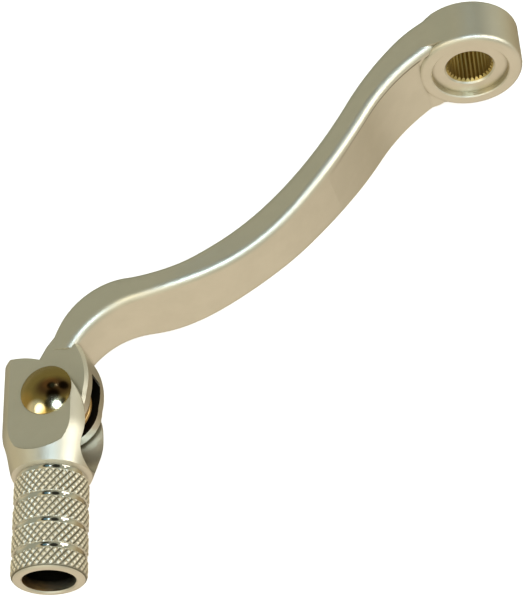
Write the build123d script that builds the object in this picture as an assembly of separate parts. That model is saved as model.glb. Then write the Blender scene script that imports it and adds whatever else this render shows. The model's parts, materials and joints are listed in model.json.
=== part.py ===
from build123d import *
import math
import os

# Folding-tip gear shift lever for the left side of a motorcycle, in millimetres.
# Origin: middle of the serrated bore, on its axis. -Y points outboard, +Y runs along the shift
# shaft into the engine, +Z is up, and the arm leads from the boss towards -X and -Y to the toe tip.

# Boss: clamped on the serrated end of the shift shaft by an axial screw and washer
BOSS_DIAMETER = 31.0
BOSS_OUTER_Y = -7.9
BOSS_INNER_Y = 6.7
BOSS_OUTER_ROUND = 1.6
BOSS_INNER_ROUND = 1.2
COUNTERBORE_DIAMETER = 22.8
COUNTERBORE_DEPTH = 1.8
COUNTERBORE_CHAMFER = 0.35
OUTER_COUNTERSINK_DIAMETER = 15.0
INNER_COUNTERSINK_DIAMETER = 14.15
TOOTH_COUNT = 31
SERRATION_CREST_DIAMETER = 12.5
SERRATION_ROOT_DIAMETER = 13.9
CREST_ANGLE = 4.3

# Arm, seen from above: chains of tangent arcs (radius, turn in degrees) from the boss to the tip
OUTER_START = (-12.3, -8.6)
OUTER_HEADING = 210.1
OUTER_ARCS = ((55.0, 25.1), (178.7, -11.1), (76.9, -41.4), (23.4, 52.7))
INNER_START = (-12.58, 3.86)
INNER_HEADING = 205.0
INNER_ARCS = ((29.6, 15.5), (96.5, 15.2), (125.0, -29.3), (32.5, -35.9), (21.0, 96.0))
BOSS_BLEND_Y = -6.0
# Arm, seen from the side: it leaves the boss on a tangent at this angle from the top, then runs
# through points (x, half height), tallest at the boss and again at the bend
BOSS_TANGENT_ANGLE = 18.0
SIDE_PROFILE = ((-11.0, 13.65), (-20, 13.3), (-45, 11.0), (-72, 9.5))
SIDE_PROFILE += ((-96, 11.4), (-110, 9.6), (-123, 7.8), (-140, 7.5))
ARM_EDGE_ROUND = 2.3
# The arm's long edges lie above this height and left of this X; the boss has its own rounds
LONG_EDGE_Z = 5.0
ROUNDS_FROM_X = -14.0
SHOULDER_Y = -81.0
# Relief in the outboard face: the same outline turned inwards about the point where it fades out
RELIEF_END = (-43.3, -41.9)
RELIEF_TURN = 2.6
RIM_WIDTH = 2.6
RELIEF_ROUND = 1.2
RIM_EDGE_LENGTH = 15.0

# Hinge of the folding tip: its axis is parallel to Z
PIVOT_X = -126.9
PIVOT_Y = -97.7
TONGUE_RADIUS = 10.2
TONGUE_HALF = 7.3
TONGUE_CHAMFER = 0.9
# Where the tongue's outline runs up into the arm, from the pivot
TONGUE_BULGE = (10.65, 6.0)
TONGUE_TOP_RIGHT = (7.2, 16.6)
TONGUE_TOP = (1.0, 21.0)
TONGUE_TOP_LEFT = (-2.3, 16.9)
TONGUE_LEFT_ANGLE = 151.0
SHOULDER_RADIUS = 15.2
SPRING_SLOT_HALF = 3.2
HEEL_FROM_X = -9.4
HEEL_TO_X = -3.0
STOP_GAP = 0.1

# Pivot hardware
RIVET_DIAMETER = 6.0
RIVET_HEAD_DIAMETER = 15.0
RIVET_HEAD_RIM = 0.3
RIVET_DOME_HEIGHT = 2.6
RIVET_TAIL_DIAMETER = 9.2
RIVET_TAIL_HEIGHT = 1.5
RIVET_HOLE_DIAMETER = 6.1
WASHER_DIAMETER = 14.0
WASHER_THICKNESS = 1.0
BUSH_DIAMETER = 12.0
TONGUE_BORE_DIAMETER = 12.1

# Return spring
WIRE_DIAMETER = 1.7
COIL_RADIUS = 8.3
COIL_HALF_HEIGHT = 2.2
COIL_POCKET_RADIUS = 9.5
WHOLE_TURNS = 2
ARM_LEG_TIP = (12.2, 6.4)
TIP_LEG_END_Y = -24.4
TIP_LEG_ANGLE = 180.0
LEG_CLEARANCE = 0.1
LEG_HOLE_DIAMETER = 2.1
LEG_HOLE_SPARE = 0.6

# Toe tip: turned from bar, then milled; lengths run from the pivot towards -Y
TIP_AXIS_OFFSET = -1.96
HEAD_RADIUS = 14.35
FLAT_HALF = 11.0
FORK_HALF = 7.4
FORK_CENTRE = 13.9
EAR_ROUND_RADIUS = 20.9
EAR_ROUND_CENTRE = (-10.6, -8.9)
EAR_REACH = 13.0
FLAT_CUTTER_RADIUS = 11.0
FLAT_CUTTER_Y = -7.5
CONE_START = 12.0
CONE_END_RADIUS = 11.2
CONE_BLEND = 18.0
BARREL_RADIUS = 10.45
BARREL_END = 52.7
BARREL_END_ROUND = 2.0
GROOVE_CENTRES = (22.9, 31.1, 38.8, 46.2)
GROOVE_HALF_FLOOR = 0.55
GROOVE_FLANK = 0.7
END_BORE_RADIUS = 7.3
END_BORE_DEPTH = 24.5
END_BORE_CONE = 2.5
END_BORE_CHAMFER = 0.4
DRILL_POINT_RADIUS = 0.5

PIVOT = Location((PIVOT_X, PIVOT_Y, 0))
HIGH = 60.0


def prism_along_y(face_on_xz, y_from, y_to):
    """Solid swept from y_from to y_to by a face drawn on the XZ plane."""
    return extrude(Pos(0, y_to, 0) * face_on_xz, amount=y_to - y_from)


def cylinder_y(radius, y_from, y_to):
    """Cylinder about the Y axis."""
    return prism_along_y(Plane.XZ * Circle(radius), y_from, y_to)


def cylinder_z(radius, z_from, z_to):
    """Cylinder about the Z axis."""
    return extrude(Pos(0, 0, z_from) * Circle(radius), amount=z_to - z_from)


def cone_y(radius_from, radius_to, y_from, y_to):
    """Cone about the Y axis with the two end radii given."""
    outline = Polyline((0, y_from), (radius_from, y_from), (radius_to, y_to), (0, y_to), close=True)
    return revolve(make_face(outline), Axis.Y)


def box_between(low, high):
    """Box between two opposite corners."""
    size = [b - a for a, b in zip(low, high)]
    middle = [(a + b) / 2 for a, b in zip(low, high)]
    return Pos(*middle) * Box(*size)


def polar_point(radius, angle):
    """Point at a radius and an angle in degrees."""
    return Vector(radius * math.cos(math.radians(angle)), radius * math.sin(math.radians(angle)))


def arc_chain(start, heading, arcs):
    """Edges of a chain of tangent arcs, from a start point and a heading in degrees."""
    point = Vector(*start)
    direction = Vector(1, 0).rotate(Axis.Z, heading)
    edges = []
    for radius, turn in arcs:
        edge = JernArc(point, direction, radius, turn)
        edges.append(edge)
        point = edge @ 1
        direction = edge % 1
    return edges


def arm_plan():
    """The arm's outline seen from above, closed through the boss and across the shoulder."""
    outer = arc_chain(OUTER_START, OUTER_HEADING, OUTER_ARCS)
    inner = arc_chain(INNER_START, INNER_HEADING, INNER_ARCS)
    outer_run = (BOSS_BLEND_Y - OUTER_START[1]) / math.tan(math.radians(OUTER_HEADING))
    inner_y = BOSS_INNER_Y - BOSS_INNER_ROUND
    inner_run = (inner_y - INNER_START[1]) / math.tan(math.radians(INNER_HEADING))
    at_boss = Polyline(
        OUTER_START,
        (OUTER_START[0] + outer_run, BOSS_BLEND_Y),
        (0, BOSS_BLEND_Y),
        (0, inner_y),
        (INNER_START[0] + inner_run, inner_y),
        INNER_START,
    )
    shoulder = Line(outer[-1] @ 1, inner[-1] @ 1)
    return make_face(Curve() + [*outer, shoulder, *inner, at_boss])


def side_face():
    """The arm's outline seen from the side, on the XZ plane."""
    angle = math.radians(BOSS_TANGENT_ANGLE)
    leaving = (-math.sin(angle) * BOSS_DIAMETER / 2, math.cos(angle) * BOSS_DIAMETER / 2)
    points = (leaving, *SIDE_PROFILE)
    slope = (-math.cos(angle), -math.sin(angle))
    top = Spline(*points, tangents=(slope, (-1, 0)))
    mirrored = (slope[0], -slope[1])
    bottom = Spline(*[(x, -z) for x, z in points], tangents=(mirrored, (-1, 0)))
    boss_end = Line(top @ 0, bottom @ 0)
    tip_end = Line(top @ 1, bottom @ 1)
    return Plane.XZ * make_face(Curve() + [top, boss_end, bottom, tip_end])


def arm_blank():
    """The S-shaped bar: plan and side outlines cut through each other, long edges rounded."""
    plan = extrude(Pos(0, 0, -HIGH / 2) * arm_plan(), amount=HIGH)
    blank = plan & prism_along_y(side_face(), PIVOT_Y, HIGH)
    long_edges = []
    for edge in blank.edges():
        middle = edge.center()
        if abs(middle.Z) > LONG_EDGE_Z and middle.X < ROUNDS_FROM_X and middle.Y > SHOULDER_Y:
            long_edges.append(edge)
    return fillet(long_edges, ARM_EDGE_ROUND)


def face_relief():
    """Shallow relief below the raised rim of the outboard face, deepest beside the boss."""
    fade = Vector(*RELIEF_END)
    turned = []
    for edge in arc_chain(OUTER_START, OUTER_HEADING, OUTER_ARCS[:2]):
        turned.append(edge.rotate(Axis((fade.X, fade.Y, 0), (0, 0, 1)), RELIEF_TURN))
    start = turned[0] @ 0
    end = turned[-1] @ 1
    far_x = BOSS_DIAMETER / 2
    outside = Polyline(end, (end.X, -HIGH), (far_x, -HIGH), (far_x, BOSS_BLEND_Y), start)
    plan = extrude(Pos(0, 0, -HIGH / 2) * make_face(Curve() + [*turned, outside]), amount=HIGH)
    side = prism_along_y(Pos(0, 0, -RIM_WIDTH) * side_face(), PIVOT_Y, HIGH)
    keep = box_between((fade.X, -HIGH, -HIGH), (HIGH, HIGH, HIGH))
    relief = plan & side & keep
    corners = []
    for edge in relief.edges():
        middle = edge.center()
        along_rim = abs(middle.Z) > LONG_EDGE_Z and edge.length > RIM_EDGE_LENGTH
        if along_rim and middle.Y > -HIGH / 2 and fade.X < middle.X < ROUNDS_FROM_X:
            corners.append(edge)
    return fillet(corners, RELIEF_ROUND)


def serrated_bore():
    """Cutter for the internal serration: narrow crests on the bore, pointed roots between them."""
    crest = SERRATION_CREST_DIAMETER / 2
    root = SERRATION_ROOT_DIAMETER / 2
    pitch = 360 / TOOTH_COUNT
    edges = []
    for tooth in range(TOOTH_COUNT):
        middle = tooth * pitch
        left = polar_point(crest, middle - CREST_ANGLE / 2)
        top = polar_point(crest, middle)
        right = polar_point(crest, middle + CREST_ANGLE / 2)
        valley = polar_point(root, middle + pitch / 2)
        following = polar_point(crest, middle + pitch - CREST_ANGLE / 2)
        edges.append(ThreePointArc(left, top, right))
        edges.append(Line(right, valley))
        edges.append(Line(valley, following))
    return prism_along_y(Plane.XZ * make_face(Curve() + edges), BOSS_OUTER_Y, BOSS_INNER_Y)


def boss_blank():
    """Round boss with softened rims."""
    boss = cylinder_y(BOSS_DIAMETER / 2, BOSS_OUTER_Y, BOSS_INNER_Y)
    rims = boss.edges().sort_by(Axis.Y)
    boss = fillet(rims[0], BOSS_OUTER_ROUND)
    rim = boss.edges().sort_by(Axis.Y)[-1]
    return fillet(rim, BOSS_INNER_ROUND)


def boss_cuts():
    """Counterbore, both countersinks and the serrated bore, as one cutter."""
    floor = BOSS_OUTER_Y + COUNTERBORE_DEPTH
    seat = COUNTERBORE_DIAMETER / 2
    sink = OUTER_COUNTERSINK_DIAMETER / 2
    far_sink = INNER_COUNTERSINK_DIAMETER / 2
    crest = SERRATION_CREST_DIAMETER / 2
    cuts = cylinder_y(seat, BOSS_OUTER_Y - 1, floor)
    cuts += cone_y(seat + COUNTERBORE_CHAMFER, seat, BOSS_OUTER_Y, BOSS_OUTER_Y + COUNTERBORE_CHAMFER)
    cuts += cone_y(sink, crest, floor, floor + sink - crest)
    cuts += cone_y(crest, far_sink, BOSS_INNER_Y - (far_sink - crest), BOSS_INNER_Y)
    return cuts + serrated_bore()


def tongue_blank():
    """Milled tongue: a disc about the pivot that widens smoothly into the arm."""
    right = (TONGUE_RADIUS, 0)
    left = polar_point(TONGUE_RADIUS, TONGUE_LEFT_ANGLE)
    outline = Curve() + [
        ThreePointArc(right, TONGUE_BULGE, TONGUE_TOP_RIGHT),
        Polyline(TONGUE_TOP_RIGHT, TONGUE_TOP, TONGUE_TOP_LEFT, left),
        ThreePointArc(left, (0, -TONGUE_RADIUS), right),
    ]
    tongue = extrude(Pos(0, 0, -TONGUE_HALF) * make_face(outline), amount=2 * TONGUE_HALF)
    faces = tongue.faces().sort_by(Axis.Z)
    return chamfer(faces[0].edges() + faces[-1].edges(), TONGUE_CHAMFER)


def fork_space(half, x_from, x_to):
    """Full-radius slot along X: the fork's gap, or the heel that stops against its bottom."""
    slot = box_between((x_from, -FORK_CENTRE, -half), (x_to, EAR_REACH + 10, half))
    end = extrude(Plane.YZ * Pos(-FORK_CENTRE, 0) * Circle(half), amount=x_to - x_from)
    return slot + Pos(x_from, 0, 0) * end


def heel():
    """Lobe of the tongue that meets the bottom of the fork when the tip is unfolded."""
    space = fork_space(FORK_HALF - STOP_GAP, HEEL_FROM_X, HEEL_TO_X)
    return space & box_between((HEEL_FROM_X, -HIGH, -TONGUE_HALF), (HEEL_TO_X, 0, TONGUE_HALF))


def arm_leg_start_angle():
    """Angle about the pivot where the arm-side leg leaves the coil on a tangent."""
    x, y = ARM_LEG_TIP
    return math.degrees(math.atan2(y, x) + math.acos(COIL_RADIUS / math.hypot(x, y)))


def spring_pocket():
    """Slot between the tongue's cheeks: round over the coil, with a straight seat for the leg."""
    seat_offset = COIL_RADIUS + WIRE_DIAMETER / 2 + LEG_CLEARANCE
    angle = arm_leg_start_angle()
    seat = polar_point(seat_offset, angle)
    along = polar_point(1, angle - 90)
    reach = SHOULDER_RADIUS + TONGUE_CHAMFER
    outline = Polyline(
        seat,
        seat + along * reach,
        (reach, -HIGH),
        (-reach, -HIGH),
        (-reach, 0),
        (0, 0),
        close=True,
    )
    pocket = extrude(Pos(0, 0, -SPRING_SLOT_HALF) * make_face(outline), amount=2 * SPRING_SLOT_HALF)
    return pocket + cylinder_z(COIL_POCKET_RADIUS, -SPRING_SLOT_HALF, SPRING_SLOT_HALF)


def lever_arm():
    """Boss, arm and tongue: one solid."""
    upper_sweep = cylinder_z(SHOULDER_RADIUS, TONGUE_HALF, HIGH)
    lower_sweep = cylinder_z(SHOULDER_RADIUS, -HIGH, -TONGUE_HALF)
    arm = arm_blank() - face_relief() - PIVOT * (upper_sweep + lower_sweep)
    arm += PIVOT * (tongue_blank() + heel())
    arm += boss_blank()
    arm -= boss_cuts()
    arm -= PIVOT * spring_pocket()
    return arm - PIVOT * cylinder_z(TONGUE_BORE_DIAMETER / 2, -HIGH / 2, HIGH / 2)


def tip_outline():
    """Half section of the turned toe tip: head, cone, grooved barrel and rounded end."""
    points = [(0, EAR_REACH), (HEAD_RADIUS, EAR_REACH), (HEAD_RADIUS, -CONE_START)]
    edge_radius = CONE_END_RADIUS
    for centre in GROOVE_CENTRES:
        floor = BARREL_RADIUS - GROOVE_FLANK
        half = GROOVE_HALF_FLOOR + GROOVE_FLANK
        points.append((edge_radius, -centre + half))
        edge_radius = BARREL_RADIUS
        points.append((floor, -centre + GROOVE_HALF_FLOOR))
        points.append((floor, -centre - GROOVE_HALF_FLOOR))
        points.append((BARREL_RADIUS, -centre - half))
    points.append((BARREL_RADIUS, -BARREL_END))
    points.append((0, -BARREL_END))
    outline = make_face(Polyline(*points, close=True))
    head_corner = outline.vertices().sort_by_distance((HEAD_RADIUS, -CONE_START))[0]
    outline = fillet(head_corner, CONE_BLEND)
    end_corner = outline.vertices().sort_by_distance((BARREL_RADIUS, -BARREL_END))[0]
    return fillet(end_corner, BARREL_END_ROUND)


def flat_cutter():
    """Removes one side of the head down to the flat; a round cutter leaves its lower end."""
    plan = box_between((-HIGH, FLAT_CUTTER_Y, FLAT_HALF), (HIGH, HIGH, HIGH))
    return plan + Pos(0, FLAT_CUTTER_Y, 0) * cylinder_z(FLAT_CUTTER_RADIUS, FLAT_HALF, HIGH)


def end_bore():
    """Deep lightening bore in the barrel, with a drill-point bottom."""
    bottom = -BARREL_END + END_BORE_DEPTH
    bore = cylinder_y(END_BORE_RADIUS, -BARREL_END - 1, bottom)
    bore += cone_y(END_BORE_RADIUS, DRILL_POINT_RADIUS, bottom, bottom + END_BORE_CONE)
    mouth = END_BORE_RADIUS + END_BORE_CHAMFER
    return bore + cone_y(mouth, END_BORE_RADIUS, -BARREL_END, -BARREL_END + END_BORE_CHAMFER)


def ear_limit():
    """Everything inside the big round that shapes the ends of the two ears."""
    centre = Pos(EAR_ROUND_CENTRE[0], EAR_ROUND_CENTRE[1], 0)
    below = box_between((-HIGH, -HIGH, -HIGH), (HIGH, EAR_ROUND_CENTRE[1], HIGH))
    return centre * cylinder_z(EAR_ROUND_RADIUS, -HIGH, HIGH) + below


def toe_tip():
    """Forked head and grooved barrel: one solid."""
    blank = revolve(tip_outline(), Axis.Y)
    blank -= flat_cutter() + mirror(flat_cutter(), Plane.XY)
    blank -= end_bore()
    tip = Pos(TIP_AXIS_OFFSET, 0, 0) * blank
    tip &= ear_limit()
    tip -= fork_space(FORK_HALF, -HIGH, HIGH)
    tip -= cylinder_z(RIVET_HOLE_DIAMETER / 2, -HIGH, HIGH)
    leg_hole = cylinder_y(LEG_HOLE_DIAMETER / 2, TIP_LEG_END_Y - LEG_HOLE_SPARE, -FORK_CENTRE)
    return PIVOT * (tip - Pos(-COIL_RADIUS, 0, COIL_HALF_HEIGHT) * leg_hole)


def dome(radius, height, base_z, upwards):
    """Rivet head or tail: a spherical cap on its base circle."""
    sign = 1 if upwards else -1
    half_way = radius / 2
    ball = (radius ** 2 + height ** 2) / (2 * height)
    rise = math.sqrt(ball ** 2 - half_way ** 2) - (ball - height)
    edges = Curve() + [
        Line((0, base_z), (radius, base_z)),
        ThreePointArc((radius, base_z), (half_way, base_z + sign * rise), (0, base_z + sign * height)),
        Line((0, base_z + sign * height), (0, base_z)),
    ]
    return revolve(Plane.XZ * make_face(edges), Axis.Z)


def pivot_rivet():
    """Dome-head rivet through both ears, its tail peened over the washer."""
    tail_z = -FLAT_HALF - WASHER_THICKNESS
    shank = cylinder_z(RIVET_DIAMETER / 2, tail_z, FLAT_HALF)
    rim = cylinder_z(RIVET_HEAD_DIAMETER / 2, FLAT_HALF, FLAT_HALF + RIVET_HEAD_RIM)
    head = dome(RIVET_HEAD_DIAMETER / 2, RIVET_DOME_HEIGHT, FLAT_HALF + RIVET_HEAD_RIM, True)
    tail = dome(RIVET_TAIL_DIAMETER / 2, RIVET_TAIL_HEIGHT, tail_z, False)
    return PIVOT * (shank + rim + head + tail)


def ring(outer_diameter, inner_diameter, z_from, z_to):
    """Plain ring about the pivot axis."""
    blank = cylinder_z(outer_diameter / 2, z_from, z_to)
    return blank - cylinder_z(inner_diameter / 2, z_from, z_to)


def return_spring():
    """Torsion spring: coil about the bush, one leg on the arm and one in the toe tip."""
    start_angle = arm_leg_start_angle()
    turns = WHOLE_TURNS + (TIP_LEG_ANGLE - start_angle) / 360
    height = 2 * COIL_HALF_HEIGHT
    helix = Helix(pitch=height / turns, height=height, radius=COIL_RADIUS)
    path = Pos(0, 0, -COIL_HALF_HEIGHT) * Rot(0, 0, start_angle) * helix
    section = Plane(origin=path @ 0, z_dir=path % 0) * Circle(WIRE_DIAMETER / 2)
    coil = sweep(section, path=path, is_frenet=True)
    spring = coil + wire_leg(path @ 0, Vector(*ARM_LEG_TIP, -COIL_HALF_HEIGHT))
    spring += wire_leg(path @ 1, Vector(-COIL_RADIUS, TIP_LEG_END_Y, COIL_HALF_HEIGHT))
    return PIVOT * spring


def wire_leg(start, end):
    """Straight leg of spring wire, with a ball where it meets the coil."""
    along = end - start
    leg = extrude(Plane(origin=start, z_dir=along) * Circle(WIRE_DIAMETER / 2), amount=along.length)
    return leg + Pos(start) * Sphere(WIRE_DIAMETER / 2)


os.makedirs("parts", exist_ok=True)
washer = ring(WASHER_DIAMETER, RIVET_HOLE_DIAMETER, -FLAT_HALF - WASHER_THICKNESS, -FLAT_HALF)
bush = ring(BUSH_DIAMETER, RIVET_HOLE_DIAMETER, -FORK_HALF, FORK_HALF)
export_step(lever_arm(), "parts/lever_arm.step")
export_step(toe_tip(), "parts/toe_tip.step")
export_step(pivot_rivet(), "parts/pivot_rivet.step")
export_step(PIVOT * washer, "parts/rivet_washer.step")
export_step(PIVOT * bush, "parts/pivot_bush.step")
export_step(return_spring(), "parts/return_spring.step")
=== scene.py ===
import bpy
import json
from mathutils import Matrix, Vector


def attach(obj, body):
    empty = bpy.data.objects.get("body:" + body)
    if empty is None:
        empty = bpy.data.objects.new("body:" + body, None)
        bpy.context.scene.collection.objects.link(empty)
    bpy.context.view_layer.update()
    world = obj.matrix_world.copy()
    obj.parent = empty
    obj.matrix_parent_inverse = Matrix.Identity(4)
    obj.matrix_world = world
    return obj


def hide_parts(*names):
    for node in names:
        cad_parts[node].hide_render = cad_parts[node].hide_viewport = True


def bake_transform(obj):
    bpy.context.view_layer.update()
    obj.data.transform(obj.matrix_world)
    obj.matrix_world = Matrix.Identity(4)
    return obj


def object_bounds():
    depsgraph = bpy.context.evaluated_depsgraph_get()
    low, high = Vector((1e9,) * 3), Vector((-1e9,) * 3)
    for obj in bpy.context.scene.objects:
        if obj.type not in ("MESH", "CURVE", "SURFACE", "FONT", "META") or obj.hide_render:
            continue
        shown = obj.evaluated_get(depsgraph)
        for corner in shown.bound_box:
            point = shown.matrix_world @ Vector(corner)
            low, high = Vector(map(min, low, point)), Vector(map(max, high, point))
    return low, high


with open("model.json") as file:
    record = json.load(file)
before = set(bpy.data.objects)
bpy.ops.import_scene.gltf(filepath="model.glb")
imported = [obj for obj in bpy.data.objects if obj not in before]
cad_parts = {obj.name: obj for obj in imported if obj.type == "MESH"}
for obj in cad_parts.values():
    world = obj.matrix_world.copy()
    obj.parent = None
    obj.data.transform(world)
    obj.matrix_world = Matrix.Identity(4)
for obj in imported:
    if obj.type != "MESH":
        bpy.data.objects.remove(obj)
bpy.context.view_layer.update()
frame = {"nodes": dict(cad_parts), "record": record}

import json
import math

import bpy
import bmesh
from mathutils import Matrix, Vector

MM = 0.001
scene = bpy.context.scene
scene.view_settings.view_transform = "Standard"

# The toe tip turns about the rivet, and its barrel's axis lies a little to the left of it.
joint = frame["record"]["behaviour"]["joints"][0]
PIVOT_X, PIVOT_Y = joint["pos_m"][:2]
AXIS_X = PIVOT_X - 1.96 * MM

# Sizes that the CAD solids fix, in mm. T is a distance below the rivet, along the barrel.
BARREL_START_T = 22.35              # the corner where the first groove's flank meets its floor
BARREL_R = 10.45
FLOOR_R = 9.75                      # the groove floors
END_T = 52.7
BORE_R = 7.3
SEAT_R = 11.4                       # the counterbore's wall
TEETH_R = 7.0                       # just over the roots of the serration
SLOT_HALF = 3.2                     # half the height of the spring's slot
RIM_Z = 10.7                        # the raised rim's inner edge, where x is RIM_X
RIM_X = -20.0

# ---------------------------------------------------------------- camera
cam_data = bpy.data.cameras.new("camera")
cam = bpy.data.objects.new("camera", cam_data)
scene.collection.objects.link(cam)
cam_data.sensor_fit = "VERTICAL"
cam_data.sensor_height = 36.0
cam_data.lens = 105.83
cam_data.clip_start = 0.01
cam_data.clip_end = 20.0
right = Vector((0.96177, -0.03727, -0.27130))
up = Vector((0.17660, 0.84156, 0.51048))
back = Vector((0.20929, -0.53888, 0.81597))
cam.matrix_world = Matrix((
    (right.x, up.x, back.x, 0.037996),
    (right.y, up.y, back.y, -0.343314),
    (right.z, up.z, back.z, 0.407967),
    (0, 0, 0, 1),
))
scene.camera = cam


# ---------------------------------------------------------------- lamps
def area(name, position, target, size, power, colour):
    """Soft rectangular light aimed at a point."""
    data = bpy.data.lights.new(name, "AREA")
    data.shape = "RECTANGLE"
    data.size, data.size_y = size
    data.energy = power
    data.color = colour
    data.spread = math.pi
    lamp = bpy.data.objects.new(name, data)
    scene.collection.objects.link(lamp)
    lamp.location = position
    aim = Vector(position) - Vector(target)
    lamp.rotation_euler = aim.to_track_quat("Z", "Y").to_euler()


TOE = (-0.12, -0.11, 0.0)
MIDDLE = (-0.07, -0.06, 0.0)
area("right_softbox", (0.21, -0.075, 0.15), TOE, (0.16, 0.16), 0.16, (1.0, 0.97, 0.88))
area("front_softbox", (-0.10, -0.62, 0.40), MIDDLE, (0.55, 0.22), 0.5, (1.0, 0.95, 0.84))

# ---------------------------------------------------------------- surroundings
# The metal mirrors a studio that is set out by direction only: a pale ceiling, a warm floor in front,
# soft cards, and dark gaps between them.
world = bpy.data.worlds.new("studio")
scene.world = world
world.use_nodes = True
wt = world.node_tree
wt.nodes.clear()


def wnode(kind, **settings):
    made = wt.nodes.new(kind)
    for key, value in settings.items():
        setattr(made, key, value)
    return made


direction = wnode("ShaderNodeTexCoord").outputs["Generated"]


def facing(towards):
    """How far the direction looked in leans towards a direction, from -1 to 1."""
    dot = wnode("ShaderNodeVectorMath", operation="DOT_PRODUCT")
    wt.links.new(direction, dot.inputs[0])
    dot.inputs[1].default_value = Vector(towards).normalized()
    return dot.outputs["Value"]


def ramp(value, start, end, low=0.0, high=1.0):
    """Goes smoothly from low, before start, to high, after end."""
    made = wnode("ShaderNodeMapRange", interpolation_type="SMOOTHSTEP")
    wt.links.new(value, made.inputs["Value"])
    for key, number in (("From Min", start), ("From Max", end), ("To Min", low), ("To Max", high)):
        made.inputs[key].default_value = number
    return made.outputs["Result"]


def times(a, b):
    made = wnode("ShaderNodeMath", operation="MULTIPLY")
    wt.links.new(a, made.inputs[0])
    wt.links.new(b, made.inputs[1])
    return made.outputs[0]


def tinted(colour, amount):
    """A colour, or a light so far, scaled by an amount."""
    made = wnode("ShaderNodeVectorMath", operation="SCALE")
    if isinstance(colour, tuple):
        made.inputs[0].default_value = colour
    else:
        wt.links.new(colour, made.inputs[0])
    wt.links.new(amount, made.inputs["Scale"])
    return made.outputs[0]


def added(a, b):
    made = wnode("ShaderNodeVectorMath", operation="ADD")
    wt.links.new(a, made.inputs[0])
    wt.links.new(b, made.inputs[1])
    return made.outputs[0]


def spot(towards, half_inner, half_outer, low, high):
    """high within half_inner degrees of a direction, low beyond half_outer degrees."""
    outer, inner = math.cos(math.radians(half_outer)), math.cos(math.radians(half_inner))
    return ramp(facing(towards), outer, inner, low, high)


below = ramp(facing((0, 0, 1)), -0.08, -0.50)
above = ramp(facing((0, 0, 1)), -0.50, -0.08)
in_front = ramp(facing((0, 1, 0)), 0.35, -0.25)
behind = ramp(facing((0, 1, 0)), -0.25, 0.35)
light = added(tinted((0.34, 0.345, 0.26), above),
              added(tinted((0.76, 0.66, 0.51), times(below, in_front)),
                    tinted((0.17, 0.14, 0.09), times(below, behind))))
# In order: what it is, its direction, the half angles of its full and of its faded part in degrees,
# and the share of the light that a gap takes away or the colour that a card adds.
GAP, CARD = "gap", "card"
for kind, towards, half_inner, half_outer, strength in (
    (GAP, (0.13, 0.02, 0.99), 11, 23, 0.93),                        # right overhead
    (GAP, (0.56, -0.36, 0.75), 8, 17, 0.90),                        # between the flash and the right
    (GAP, (-0.06, -0.36, 0.93), 8, 17, 0.90),                       # between the flash and the left
    (CARD, (-0.05, 0.58, 0.82), 8, 22, (0.20, 0.13, 0.04)),
    (CARD, (-0.15, -0.98, 0.06), 8, 30, (0.55, 0.50, 0.38)),
    (CARD, (-0.52, -0.48, 0.70), 12, 18, (2.10, 1.90, 1.40)),       # left front softbox
    (GAP, (0.02, 0.46, 0.89), 7, 12, 0.94),
    (GAP, (0.50, 0.46, 0.73), 9, 15, 0.92),
    (CARD, (0.10, 0.46, 0.88), 4, 9, (0.06, 0.17, 0.22)),
    (CARD, (0.236, 0.461, 0.855), 1.4, 2.8, (3.0, 4.6, 6.4)),       # narrow blue-white glint
    (CARD, (0.80, 0.46, 0.38), 1.6, 3.6, (4.2, 3.8, 3.4)),          # narrow warm glint
    (CARD, (0.27, -0.44, 0.85), 5.5, 11, (9.0, 11.8, 14.0)),        # flash
    (CARD, (-0.95, -0.05, 0.20), 12, 38, (0.22, 0.14, 0.06)),
    (CARD, (-0.85, 0.35, -0.40), 18, 45, (0.10, 0.09, 0.06)),
    (CARD, (0.86, -0.22, 0.45), 12, 24, (1.80, 1.76, 1.58)),        # right front softbox
    (CARD, (0.75, 0.50, -0.42), 12, 38, (0.20, 0.15, 0.07)),
):
    if kind == GAP:
        light = tinted(light, spot(towards, half_inner, half_outer, 1.0, 1.0 - strength))
    else:
        light = added(light, tinted(strength, spot(towards, half_inner, half_outer, 0.0, 1.0)))

# The camera sees a plain pale background instead.
seen_bg = wnode("ShaderNodeBackground")
seen_bg.inputs["Color"].default_value = (0.97, 0.97, 0.96, 1)
seen_bg.inputs["Strength"].default_value = 1.0
lit_bg = wnode("ShaderNodeBackground")
wt.links.new(light, lit_bg.inputs["Color"])
lit_bg.inputs["Strength"].default_value = 1.0
pick = wnode("ShaderNodeMixShader")
wt.links.new(wnode("ShaderNodeLightPath").outputs["Is Camera Ray"], pick.inputs[0])
wt.links.new(lit_bg.outputs[0], pick.inputs[1])
wt.links.new(seen_bg.outputs[0], pick.inputs[2])
wt.links.new(pick.outputs[0], wnode("ShaderNodeOutputWorld").inputs["Surface"])


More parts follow.
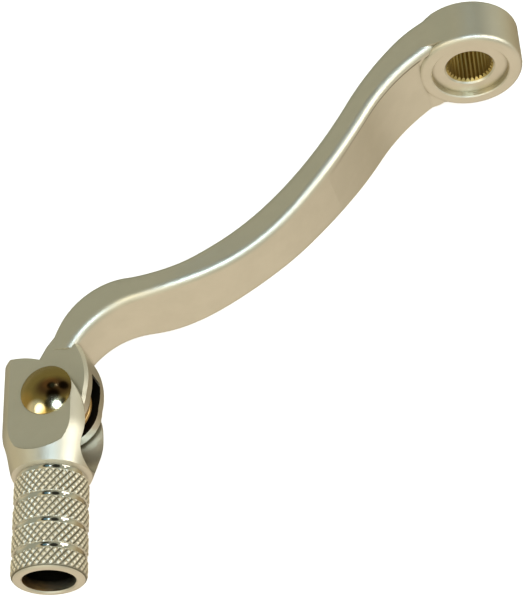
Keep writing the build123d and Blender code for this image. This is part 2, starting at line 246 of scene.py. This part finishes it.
# ---------------------------------------------------------------- materials
class Finish:
    """A node material built up step by step round one shader, in the object's own coordinates."""

    def __init__(self, name, metallic=1.0):
        self.mat = bpy.data.materials.new(name)
        self.mat.use_nodes = True
        self.tree = self.mat.node_tree
        self.shader = self.tree.nodes["Principled BSDF"]
        self.shader.inputs["Metallic"].default_value = metallic
        self.place = self.node("ShaderNodeTexCoord").outputs["Object"]
        self.normal = None

    def node(self, kind, **settings):
        made = self.tree.nodes.new(kind)
        for key, value in settings.items():
            setattr(made, key, value)
        return made

    def link(self, a, b):
        self.tree.links.new(a, b)

    def noise(self, size_mm, detail=2.0, rough=0.5, stretch=(1, 1, 1)):
        scaled = self.node("ShaderNodeMapping")
        self.link(self.place, scaled.inputs["Vector"])
        scaled.inputs["Scale"].default_value = [s / (size_mm * MM) for s in stretch]
        made = self.node("ShaderNodeTexNoise")
        self.link(scaled.outputs[0], made.inputs["Vector"])
        made.inputs["Scale"].default_value = 1.0
        made.inputs["Detail"].default_value = detail
        made.inputs["Roughness"].default_value = rough
        return made.outputs["Fac"]

    def remap(self, value, low, high, out_low, out_high, smooth=False):
        made = self.node("ShaderNodeMapRange")
        made.interpolation_type = "SMOOTHSTEP" if smooth else "LINEAR"
        self.link(value, made.inputs["Value"])
        numbers = (("From Min", low), ("From Max", high), ("To Min", out_low), ("To Max", out_high))
        for key, number in numbers:
            made.inputs[key].default_value = number
        return made.outputs["Result"]

    def maths(self, operation, a, b=None):
        made = self.node("ShaderNodeMath", operation=operation)
        for socket, value in zip(made.inputs, (a, b)):
            if value is None:
                continue
            if isinstance(value, (int, float)):
                socket.default_value = value
            else:
                self.link(value, socket)
        return made.outputs[0]

    def mix(self, amount, a, b):
        made = self.node("ShaderNodeMix", data_type="RGBA")
        self.link(amount, made.inputs["Factor"])
        for socket, value in ((made.inputs[6], a), (made.inputs[7], b)):
            if isinstance(value, tuple):
                socket.default_value = (*value, 1)
            else:
                self.link(value, socket)
        return made.outputs[2]

    def bump(self, height, depth_mm):
        """Adds a bump on top of the ones before it."""
        made = self.node("ShaderNodeBump")
        made.inputs["Strength"].default_value = 1.0
        made.inputs["Distance"].default_value = depth_mm * MM
        self.link(height, made.inputs["Height"])
        if self.normal is not None:
            self.link(self.normal, made.inputs["Normal"])
        self.normal = made.outputs["Normal"]
        self.link(self.normal, self.shader.inputs["Normal"])

    def colour(self, value):
        self.link(value, self.shader.inputs["Base Color"])

    def roughness(self, value):
        self.link(value, self.shader.inputs["Roughness"])

    def axis(self, which):
        split = self.node("ShaderNodeSeparateXYZ")
        self.link(self.place, split.inputs[0])
        return split.outputs[which]

    def distance(self, first, at_first, second, at_second, stretch=1.0):
        """Distance from a line along the third axis, through a point given on the other two."""
        a = self.maths("DIVIDE", self.maths("SUBTRACT", self.axis(first), at_first), stretch)
        b = self.maths("SUBTRACT", self.axis(second), at_second)
        return self.maths("SQRT", self.maths("ADD", self.maths("POWER", a, 2.0),
                                             self.maths("POWER", b, 2.0)))


ALUMINIUM = (0.80, 0.765, 0.665)
ALUMINIUM_DULL = (0.765, 0.73, 0.63)
CORNER_SHADE = (0.38, 0.35, 0.27)     # painted shade in the inside corners
CORNER_SHADE_REACH = 1.6                  # how far the painted corner shade spreads from a corner, mm
RIM_SHADE = (0.20, 0.18, 0.13)
SLOT_SHADE = (0.035, 0.03, 0.022)
SEAT_WALL_SHADE = (0.62, 0.56, 0.42)
TEETH_SHADE = (0.56, 0.43, 0.17)          # painted shade and warm reflection on the serration inside the bore


def blasted(name):
    """Bead-blasted aluminium: fine peened dimples over a slow cloudiness, with painted shade in the
    inside corners.
    """
    made = Finish(name)
    cloud = made.noise(9.0, 3.0, 0.55)
    grain = made.noise(0.45, 2.0, 0.6)
    plain = made.mix(made.remap(cloud, 0.3, 0.7, 0.0, 1.0, True), ALUMINIUM_DULL, ALUMINIUM)
    # Painted shade: an ambient occlusion node darkens the inside corners.
    corner = made.node("ShaderNodeAmbientOcclusion", samples=8)
    corner.inputs["Distance"].default_value = CORNER_SHADE_REACH * MM
    made.plain = made.mix(made.remap(corner.outputs["AO"], 0.40, 0.90, 0.0, 1.0), CORNER_SHADE, plain)
    made.colour(made.plain)
    made.rough = made.maths("ADD", made.remap(cloud, 0.3, 0.7, 0.47, 0.42),
                            made.remap(grain, 0.3, 0.7, -0.03, 0.03))
    made.roughness(made.rough)
    made.bump(grain, 0.010)
    made.bump(made.noise(0.16, 1.0), 0.004)
    return made


arm_finish = blasted("blasted_aluminium")
tip_finish = blasted("turned_blasted_aluminium")

# Painted shade keeps the inside of the spring's slot nearly black. It reaches farther on the arm's
# side.
slot_x = arm_finish.maths("SUBTRACT", arm_finish.axis(0), PIVOT_X)
from_pivot = arm_finish.distance(0, PIVOT_X, 1, PIVOT_Y)
reach = arm_finish.remap(slot_x, 2.9 * MM, 3.1 * MM, 10.2 * MM, 12.6 * MM)
within = arm_finish.remap(arm_finish.maths("SUBTRACT", reach, from_pivot), 0.0, 0.2 * MM, 0.0, 1.0)
height = arm_finish.maths("ABSOLUTE", arm_finish.axis(2))
level = arm_finish.remap(height, (SLOT_HALF + 0.02) * MM, (SLOT_HALF + 0.06) * MM, 1.0, 0.0)
slot_shade = arm_finish.maths("MULTIPLY", within, level)

# The screw seat was cut after blasting, so it is smoother and carries fine turning marks.
MARK_PITCH = 0.22
radial = arm_finish.distance(0, 0.0, 2, 0.0)
cut = arm_finish.remap(radial, (SEAT_R - 0.10) * MM, (SEAT_R - 0.02) * MM, 1.0, 0.0)
turns_out = arm_finish.maths("MULTIPLY", radial, 2 * math.pi / (MARK_PITCH * MM))
rings = arm_finish.maths("SINE", turns_out)
smoothed = arm_finish.remap(cut, 0.0, 1.0, 1.0, 0.36)
arm_finish.roughness(arm_finish.maths("MINIMUM", arm_finish.rough, smoothed))
arm_finish.bump(arm_finish.maths("MULTIPLY", rings, cut), 0.0002)

# Painted shade lies along the inside edge of the raised rim. The edge's height is a curve in x, all in
# mm.
RIM_SLOPE, RIM_BEND = 0.053, -0.00156
along = arm_finish.maths("DIVIDE", arm_finish.maths("SUBTRACT", arm_finish.axis(0), RIM_X * MM), MM)
bend = arm_finish.maths("MULTIPLY", arm_finish.maths("POWER", along, 2.0), RIM_BEND)
slope = arm_finish.maths("MULTIPLY", along, RIM_SLOPE)
rim_z = arm_finish.maths("ADD", arm_finish.maths("ADD", slope, bend), RIM_Z)
over = arm_finish.maths("SUBTRACT", arm_finish.maths("DIVIDE", arm_finish.axis(2), MM), rim_z)
rim_shade = arm_finish.maths("MULTIPLY", arm_finish.remap(over, 0.30, 0.62, 1.0, 0.0, True),
                         arm_finish.remap(over, -1.3, -0.7, 0.0, 1.0))
outward = arm_finish.node("ShaderNodeSeparateXYZ")
arm_finish.link(arm_finish.node("ShaderNodeNewGeometry").outputs["Normal"], outward.inputs[0])
outboard = arm_finish.remap(outward.outputs[1], -0.35, -0.15, 1.0, 0.0)
fading = arm_finish.remap(arm_finish.axis(0), -44.0 * MM, -26.0 * MM, 0.0, 0.8)
before_boss = arm_finish.remap(arm_finish.axis(0), -13.4 * MM, -12.4 * MM, 1.0, 0.0)
for limit in (outboard, fading, before_boss):
    rim_shade = arm_finish.maths("MULTIPLY", rim_shade, limit)

# Painted shade and warm reflection colour the serration inside the bore.
teeth_shade = arm_finish.remap(radial, (TEETH_R - 0.02) * MM, (TEETH_R + 0.06) * MM, 1.0, 0.0)
# Painted shade darkens the counterbore's wall.
seat_wall_shade = arm_finish.maths(
    "MULTIPLY", arm_finish.remap(radial, (SEAT_R - 0.20) * MM, (SEAT_R - 0.10) * MM, 0.0, 1.0),
    arm_finish.remap(radial, (SEAT_R + 0.02) * MM, (SEAT_R + 0.06) * MM, 1.0, 0.0))
arm_colour = arm_finish.plain
for mask, colour in ((seat_wall_shade, SEAT_WALL_SHADE), (rim_shade, RIM_SHADE), (teeth_shade, TEETH_SHADE), (slot_shade, SLOT_SHADE)):
    arm_colour = arm_finish.mix(mask, arm_colour, colour)
arm_finish.colour(arm_colour)

# Painted shade darkens the knurl's valleys, and a painted highlight brightens its crests.
knurled = blasted("knurled_aluminium")
from_axis = knurled.distance(0, AXIS_X, 2, 0.0)
crest_light_valley_shade = knurled.remap(from_axis, 9.98 * MM, 10.30 * MM, 0.0, 1.0)
knurled.colour(knurled.mix(crest_light_valley_shade, (0.24, 0.22, 0.165), (0.93, 0.86, 0.72)))
knurled.roughness(knurled.remap(crest_light_valley_shade, 0.0, 1.0, 0.60, 0.54))

bright = Finish("bright_turned_aluminium")
turning = bright.noise(0.12, 2.0, 0.5, (0.02, 1.0, 0.02))
bright.colour(bright.mix(turning, (0.80, 0.79, 0.74), (0.86, 0.84, 0.78)))
bright.roughness(bright.remap(turning, 0.3, 0.7, 0.05, 0.10))
bright.bump(turning, 0.0012)

# The rivet's head is golden, with a painted dark reflection on one side and painted highlights at two
# places.
polished = Finish("polished_steel")
film = polished.noise(3.0, 3.0, 0.6)
lines = polished.noise(0.25, 2.0, 0.5, (1.0, 0.12, 1.0))


def patch(x, y, stretch, inner, outer):
    """1 near a point given in mm from the rivet's axis, fading to 0; stretched along X."""
    away = polished.distance(0, PIVOT_X + x * MM, 1, PIVOT_Y + y * MM, stretch)
    return polished.remap(away, inner * MM, outer * MM, 1.0, 0.0, True)


tint = polished.mix(film, (0.36, 0.25, 0.07), (0.46, 0.34, 0.12))
painted_dark_reflection = patch(3.0, -0.7, 1.7, 1.8, 4.2)
painted_highlights = polished.maths("MAXIMUM", patch(-2.6, -5.6, 1.5, 1.0, 2.4), patch(3.2, -5.0, 1.2, 1.0, 2.4))
tint_and_dark_reflection = polished.mix(painted_dark_reflection, tint, (0.14, 0.075, 0.03))
polished.colour(polished.mix(painted_highlights, tint_and_dark_reflection, (0.92, 0.84, 0.60)))
polished.roughness(polished.remap(film, 0.3, 0.7, 0.10, 0.16))
polished.bump(lines, 0.0010)

plated = Finish("washer_steel")
spangle = plated.noise(0.8, 3.0, 0.6)
plated.colour(plated.mix(spangle, (0.50, 0.50, 0.50), (0.66, 0.65, 0.62)))
plated.roughness(plated.remap(spangle, 0.3, 0.7, 0.24, 0.40))
plated.bump(plated.noise(0.2, 2.0), 0.004)

brass = Finish("bush_brass")
pores = brass.noise(0.5, 3.0, 0.7)
brass.colour(brass.mix(pores, (0.52, 0.36, 0.16), (0.72, 0.53, 0.26)))
brass.roughness(brass.remap(pores, 0.3, 0.7, 0.28, 0.44))
brass.bump(pores, 0.006)

wire = Finish("spring_wire")
drawn = wire.noise(1.2, 3.0, 0.6)
wire.colour(wire.mix(drawn, (0.40, 0.25, 0.10), (0.58, 0.40, 0.19)))
wire.roughness(wire.remap(drawn, 0.3, 0.7, 0.26, 0.40))
wire.bump(wire.noise(0.3, 2.0), 0.003)

for node, finish in (("lever_arm", arm_finish), ("toe_tip", tip_finish), ("rivet_washer", plated),
                     ("pivot_rivet", polished), ("return_spring", wire), ("pivot_bush", brass)):
    materials = frame["nodes"][node].data.materials
    materials.clear()
    materials.append(finish.mat)


# ---------------------------------------------------------------- toe tip: fork head
# The CAD solid's own surface down to the first groove, closed with a flat cap inside the barrel.
SPLIT = PIVOT_Y - BARREL_START_T * MM
NEAR = 2e-6

head = bpy.data.objects.new("toe_head", frame["nodes"]["toe_tip"].data.copy())
scene.collection.objects.link(head)
bm = bmesh.new()
bm.from_mesh(head.data)
below_cut = [f for f in bm.faces if f.calc_center_median().y < SPLIT - NEAR]
bmesh.ops.delete(bm, geom=below_cut, context="FACES")
rim = [v for v in bm.verts
       if abs(v.co.y - SPLIT) < NEAR and any(e.is_boundary for e in v.link_edges)]
rim.sort(key=lambda v: math.atan2(v.co.x - AXIS_X, v.co.z))
kept_rim = [v for k, v in enumerate(rim) if (v.co - rim[k - 1].co).length > NEAR]
bm.faces.new([bm.verts.new(v.co) for v in kept_rim]).material_index = 0
bm.to_mesh(head.data)
bm.free()
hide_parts("toe_tip")
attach(head, "tip")

# ---------------------------------------------------------------- toe tip: grooved and knurled barrel
STARTS = 32                 # knurl ridges each way round
AXIAL = 2.74                # how fast the knurl's phase turns along the barrel, radians per mm
PHASE_A, PHASE_B = math.radians(55), math.radians(-170)
STEPS = 12                  # mesh steps to one knurl pitch
KNURL_DEPTH = 0.50
SHALLOW = 0.20              # how far one set of valleys stays above the other, as a share of the depth
BLUNT = 0.80                # where the crests are cut off, as a share of the depth
KNURL_END = 52.2
RUN_OUT = 0.35              # the knurl fades over this length beyond its end
GROOVES = (22.9, 31.1, 38.8, 46.2)
HALF_FLOOR = 0.68
FLANK = 0.35
COVE = 0.05                 # how far a groove's bottom hollows below its flanks
FLOOR_STEPS = 7
END_ROUND = 2.0
ROUND_STEPS = 8
BORE_DEPTH = 24.5
BORE_CONE = 2.5
BORE_STEPS, CONE_STEPS = 12, 6
MOUTH_CHAMFER = 0.4
CLOSEST_TO_START = 0.03     # knurl rows keep this far from the first row
CLOSEST_ROWS = 0.012
KNURL, POLISH, BORE, PLAIN = range(4)       # material slots


def body_radius(t):
    """The plain turned profile's radius at t mm below the rivet: barrel, grooves and rounded end."""
    r = BARREL_R
    for centre in GROOVES:
        away = abs(t - centre)
        if away <= HALF_FLOOR:
            r = FLOOR_R + COVE * (away / HALF_FLOOR) ** 2
        elif away < HALF_FLOOR + FLANK:
            r = FLOOR_R + COVE + (BARREL_R - FLOOR_R - COVE) * (away - HALF_FLOOR) / FLANK
    if t > END_T - END_ROUND:
        inside = t - (END_T - END_ROUND)
        r = min(r, BARREL_R - END_ROUND + math.sqrt(max(0.0, END_ROUND ** 2 - inside ** 2)))
    return r


def wave(phase):
    """Height of one set of parallel ridges: 0 in the valley, 1 on the crest."""
    from_crest = abs(((phase / math.pi) + 1.0) % 2.0 - 1.0)
    return 1.0 - from_crest


def row_places():
    """Where the mesh's rows lie along the barrel: on the knurl's own grid, and at every corner."""
    row_step = 2 * math.pi / STEPS / AXIAL
    grid_start = (PHASE_A - PHASE_B) / (2 * AXIAL)
    places = {BARREL_START_T}
    t = grid_start + math.ceil((BARREL_START_T - grid_start) / row_step) * row_step
    while t < END_T - END_ROUND:
        if t - BARREL_START_T > CLOSEST_TO_START:
            places.add(t)
        t += row_step
    offsets = [HALF_FLOOR * k / FLOOR_STEPS for k in range(FLOOR_STEPS + 1)] + [HALF_FLOOR + FLANK]
    for centre in GROOVES:
        for away in offsets:
            places.update(t for t in (centre - away, centre + away) if t >= BARREL_START_T)
    places.update((KNURL_END, KNURL_END + RUN_OUT))
    for step in range(ROUND_STEPS + 1):
        angle = math.radians(90 * step / ROUND_STEPS)
        places.add(END_T - END_ROUND + END_ROUND * math.sin(angle))
    spaced = []
    for t in sorted(places):
        if not spaced or t - spaced[-1] > CLOSEST_ROWS:
            spaced.append(t)
    return spaced


def place(t, turn, r):
    """A point t mm below the rivet, turned about the barrel's axis from +Z towards +X."""
    return (AXIS_X + r * math.sin(turn) * MM, PIVOT_Y - t * MM, r * math.cos(turn) * MM)


rows = row_places()
columns = STARTS * STEPS
first_turn = -(PHASE_A + PHASE_B) / (2 * STARTS)
turns = [first_turn + 2 * math.pi * j / columns for j in range(columns)]
verts, faces, kinds, heights = [], [], [], []
for t in rows:
    plain = body_radius(t)
    fade = max(0.0, min(1.0, (KNURL_END + RUN_OUT - t) / RUN_OUT))
    for turn in turns:
        a = wave(STARTS * turn - AXIAL * t + PHASE_A)
        b = wave(STARTS * turn + AXIAL * t + PHASE_B)
        ridge = min(SHALLOW + (1.0 - SHALLOW) * a, b)
        crest = min(ridge, BLUNT) / BLUNT
        sunk = BARREL_R - KNURL_DEPTH * (1.0 - crest) * fade
        verts.append(place(t, turn, min(plain, sunk)))
        heights.append(ridge)
for i in range(len(rows) - 1):
    middle = 0.5 * (rows[i] + rows[i + 1])
    nearest = min(abs(middle - centre) for centre in GROOVES)
    on_flank = nearest < HALF_FLOOR + FLANK
    for j in range(columns):
        k = (j + 1) % columns
        a, b = i * columns + j, i * columns + k
        c, d = (i + 1) * columns + k, (i + 1) * columns + j
        if nearest < HALF_FLOOR:
            faces.append((a, d, c, b))
            kinds.append(POLISH)
            continue
        # Each square is split along the diagonal that follows the ridge.
        if heights[a] + heights[c] <= heights[b] + heights[d]:
            faces += [(a, d, c), (a, c, b)]
        else:
            faces += [(a, d, b), (d, c, b)]
        kinds += [PLAIN if on_flank or middle > KNURL_END else KNURL] * 2


def ring(t, r, kind):
    """Adds one more ring of points and joins it to the ring before."""
    start = len(verts)
    for turn in turns:
        verts.append(place(t, turn, r))
    for j in range(columns):
        k = (j + 1) % columns
        faces.append((start - columns + j, start + j, start + k, start - columns + k))
        kinds.append(kind)


ring(END_T, BORE_R + MOUTH_CHAMFER, PLAIN)
ring(END_T - MOUTH_CHAMFER, BORE_R, PLAIN)
for step in range(1, BORE_STEPS + 1):
    ring(END_T - MOUTH_CHAMFER - (BORE_DEPTH - MOUTH_CHAMFER) * step / BORE_STEPS, BORE_R, BORE)
for step in range(1, CONE_STEPS):
    ring(END_T - BORE_DEPTH - BORE_CONE * step / CONE_STEPS, BORE_R * (1 - step / CONE_STEPS), BORE)
verts.append(place(END_T - BORE_DEPTH - BORE_CONE, 0.0, 0.0))
last = len(verts) - 1
for j in range(columns):
    faces.append((last - columns + j, last, last - columns + (j + 1) % columns))
    kinds.append(BORE)
verts.append(place(BARREL_START_T, 0.0, 0.0))
top = len(verts) - 1
for j in range(columns):
    faces.append((j, (j + 1) % columns, top))
    kinds.append(KNURL)

# The end bore is painted dark inside as shade, with painted golden and then blue-grey glints across
# its mouth.
drilled = Finish("drilled_aluminium")
spiral = drilled.noise(0.35, 2.0, 0.6, (0.15, 1.0, 0.15))
bore_shade = drilled.mix(spiral, (0.02, 0.018, 0.013), (0.06, 0.05, 0.035))
across = drilled.remap(drilled.axis(0), AXIS_X - 4.0 * MM, AXIS_X + 2.0 * MM, 0.0, 1.0)
mouth_glints = drilled.mix(across, (1.0, 0.62, 0.28), (0.70, 0.72, 0.64))
mouth_y = PIVOT_Y - END_T * MM
shallow = drilled.remap(drilled.axis(1), mouth_y + 0.6 * MM, mouth_y + 3.6 * MM, 1.0, 0.0)
drilled.colour(drilled.mix(shallow, bore_shade, mouth_glints))
drilled.roughness(drilled.remap(spiral, 0.3, 0.7, 0.30, 0.42))
drilled.bump(spiral, 0.006)

mesh = bpy.data.meshes.new("toe_barrel")
mesh.from_pydata(verts, [], faces)
mesh.validate()
for finish in (knurled, bright, drilled, tip_finish):       # in the order of the slots above
    mesh.materials.append(finish.mat)
mesh.polygons.foreach_set("material_index", kinds)
barrel = bpy.data.objects.new("toe_barrel", mesh)
scene.collection.objects.link(barrel)
bm = bmesh.new()
bm.from_mesh(mesh)
bmesh.ops.recalc_face_normals(bm, faces=bm.faces[:])
bm.to_mesh(mesh)
bm.free()
barrel.data.shade_smooth()
SHARP_OVER = 22.0           # degrees between faces
barrel.data.set_sharp_from_angle(angle=math.radians(SHARP_OVER))
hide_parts("toe_tip")
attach(barrel, "tip")

# ---------------------------------------------------------------- return spring
spring = bpy.data.objects.new("coil_spring", frame["nodes"]["return_spring"].data.copy())
scene.collection.objects.link(spring)
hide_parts("return_spring")
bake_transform(spring)

# ---------------------------------------------------------------- floor
FLOOR_HALF = 3.0            # metres
FLOOR_CELLS = 12
floor_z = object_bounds()[0][2] - 0.5 * MM
steps = [-FLOOR_HALF + 2 * FLOOR_HALF * i / FLOOR_CELLS for i in range(FLOOR_CELLS + 1)]
grid = [(x, y, floor_z) for y in steps for x in steps]
wide = FLOOR_CELLS + 1
corners = [j * wide + i for j in range(FLOOR_CELLS) for i in range(FLOOR_CELLS)]
floor_mesh = bpy.data.meshes.new("floor")
floor_mesh.from_pydata(grid, [], [(c, c + 1, c + wide + 1, c + wide) for c in corners])
floor = bpy.data.objects.new("floor", floor_mesh)
scene.collection.objects.link(floor)
paper = Finish("floor_paper", metallic=0.0)
fibre = paper.noise(6.0, 3.0)
paper.colour(paper.mix(fibre, (0.80, 0.80, 0.79), (0.82, 0.82, 0.81)))
paper.shader.inputs["Roughness"].default_value = 0.9
paper.shader.inputs["Specular IOR Level"].default_value = 0.1
paper.shader.inputs["Emission Color"].default_value = (1, 1, 1, 1)
paper.shader.inputs["Emission Strength"].default_value = 0.72
floor_mesh.materials.append(paper.mat)
floor.visible_glossy = False
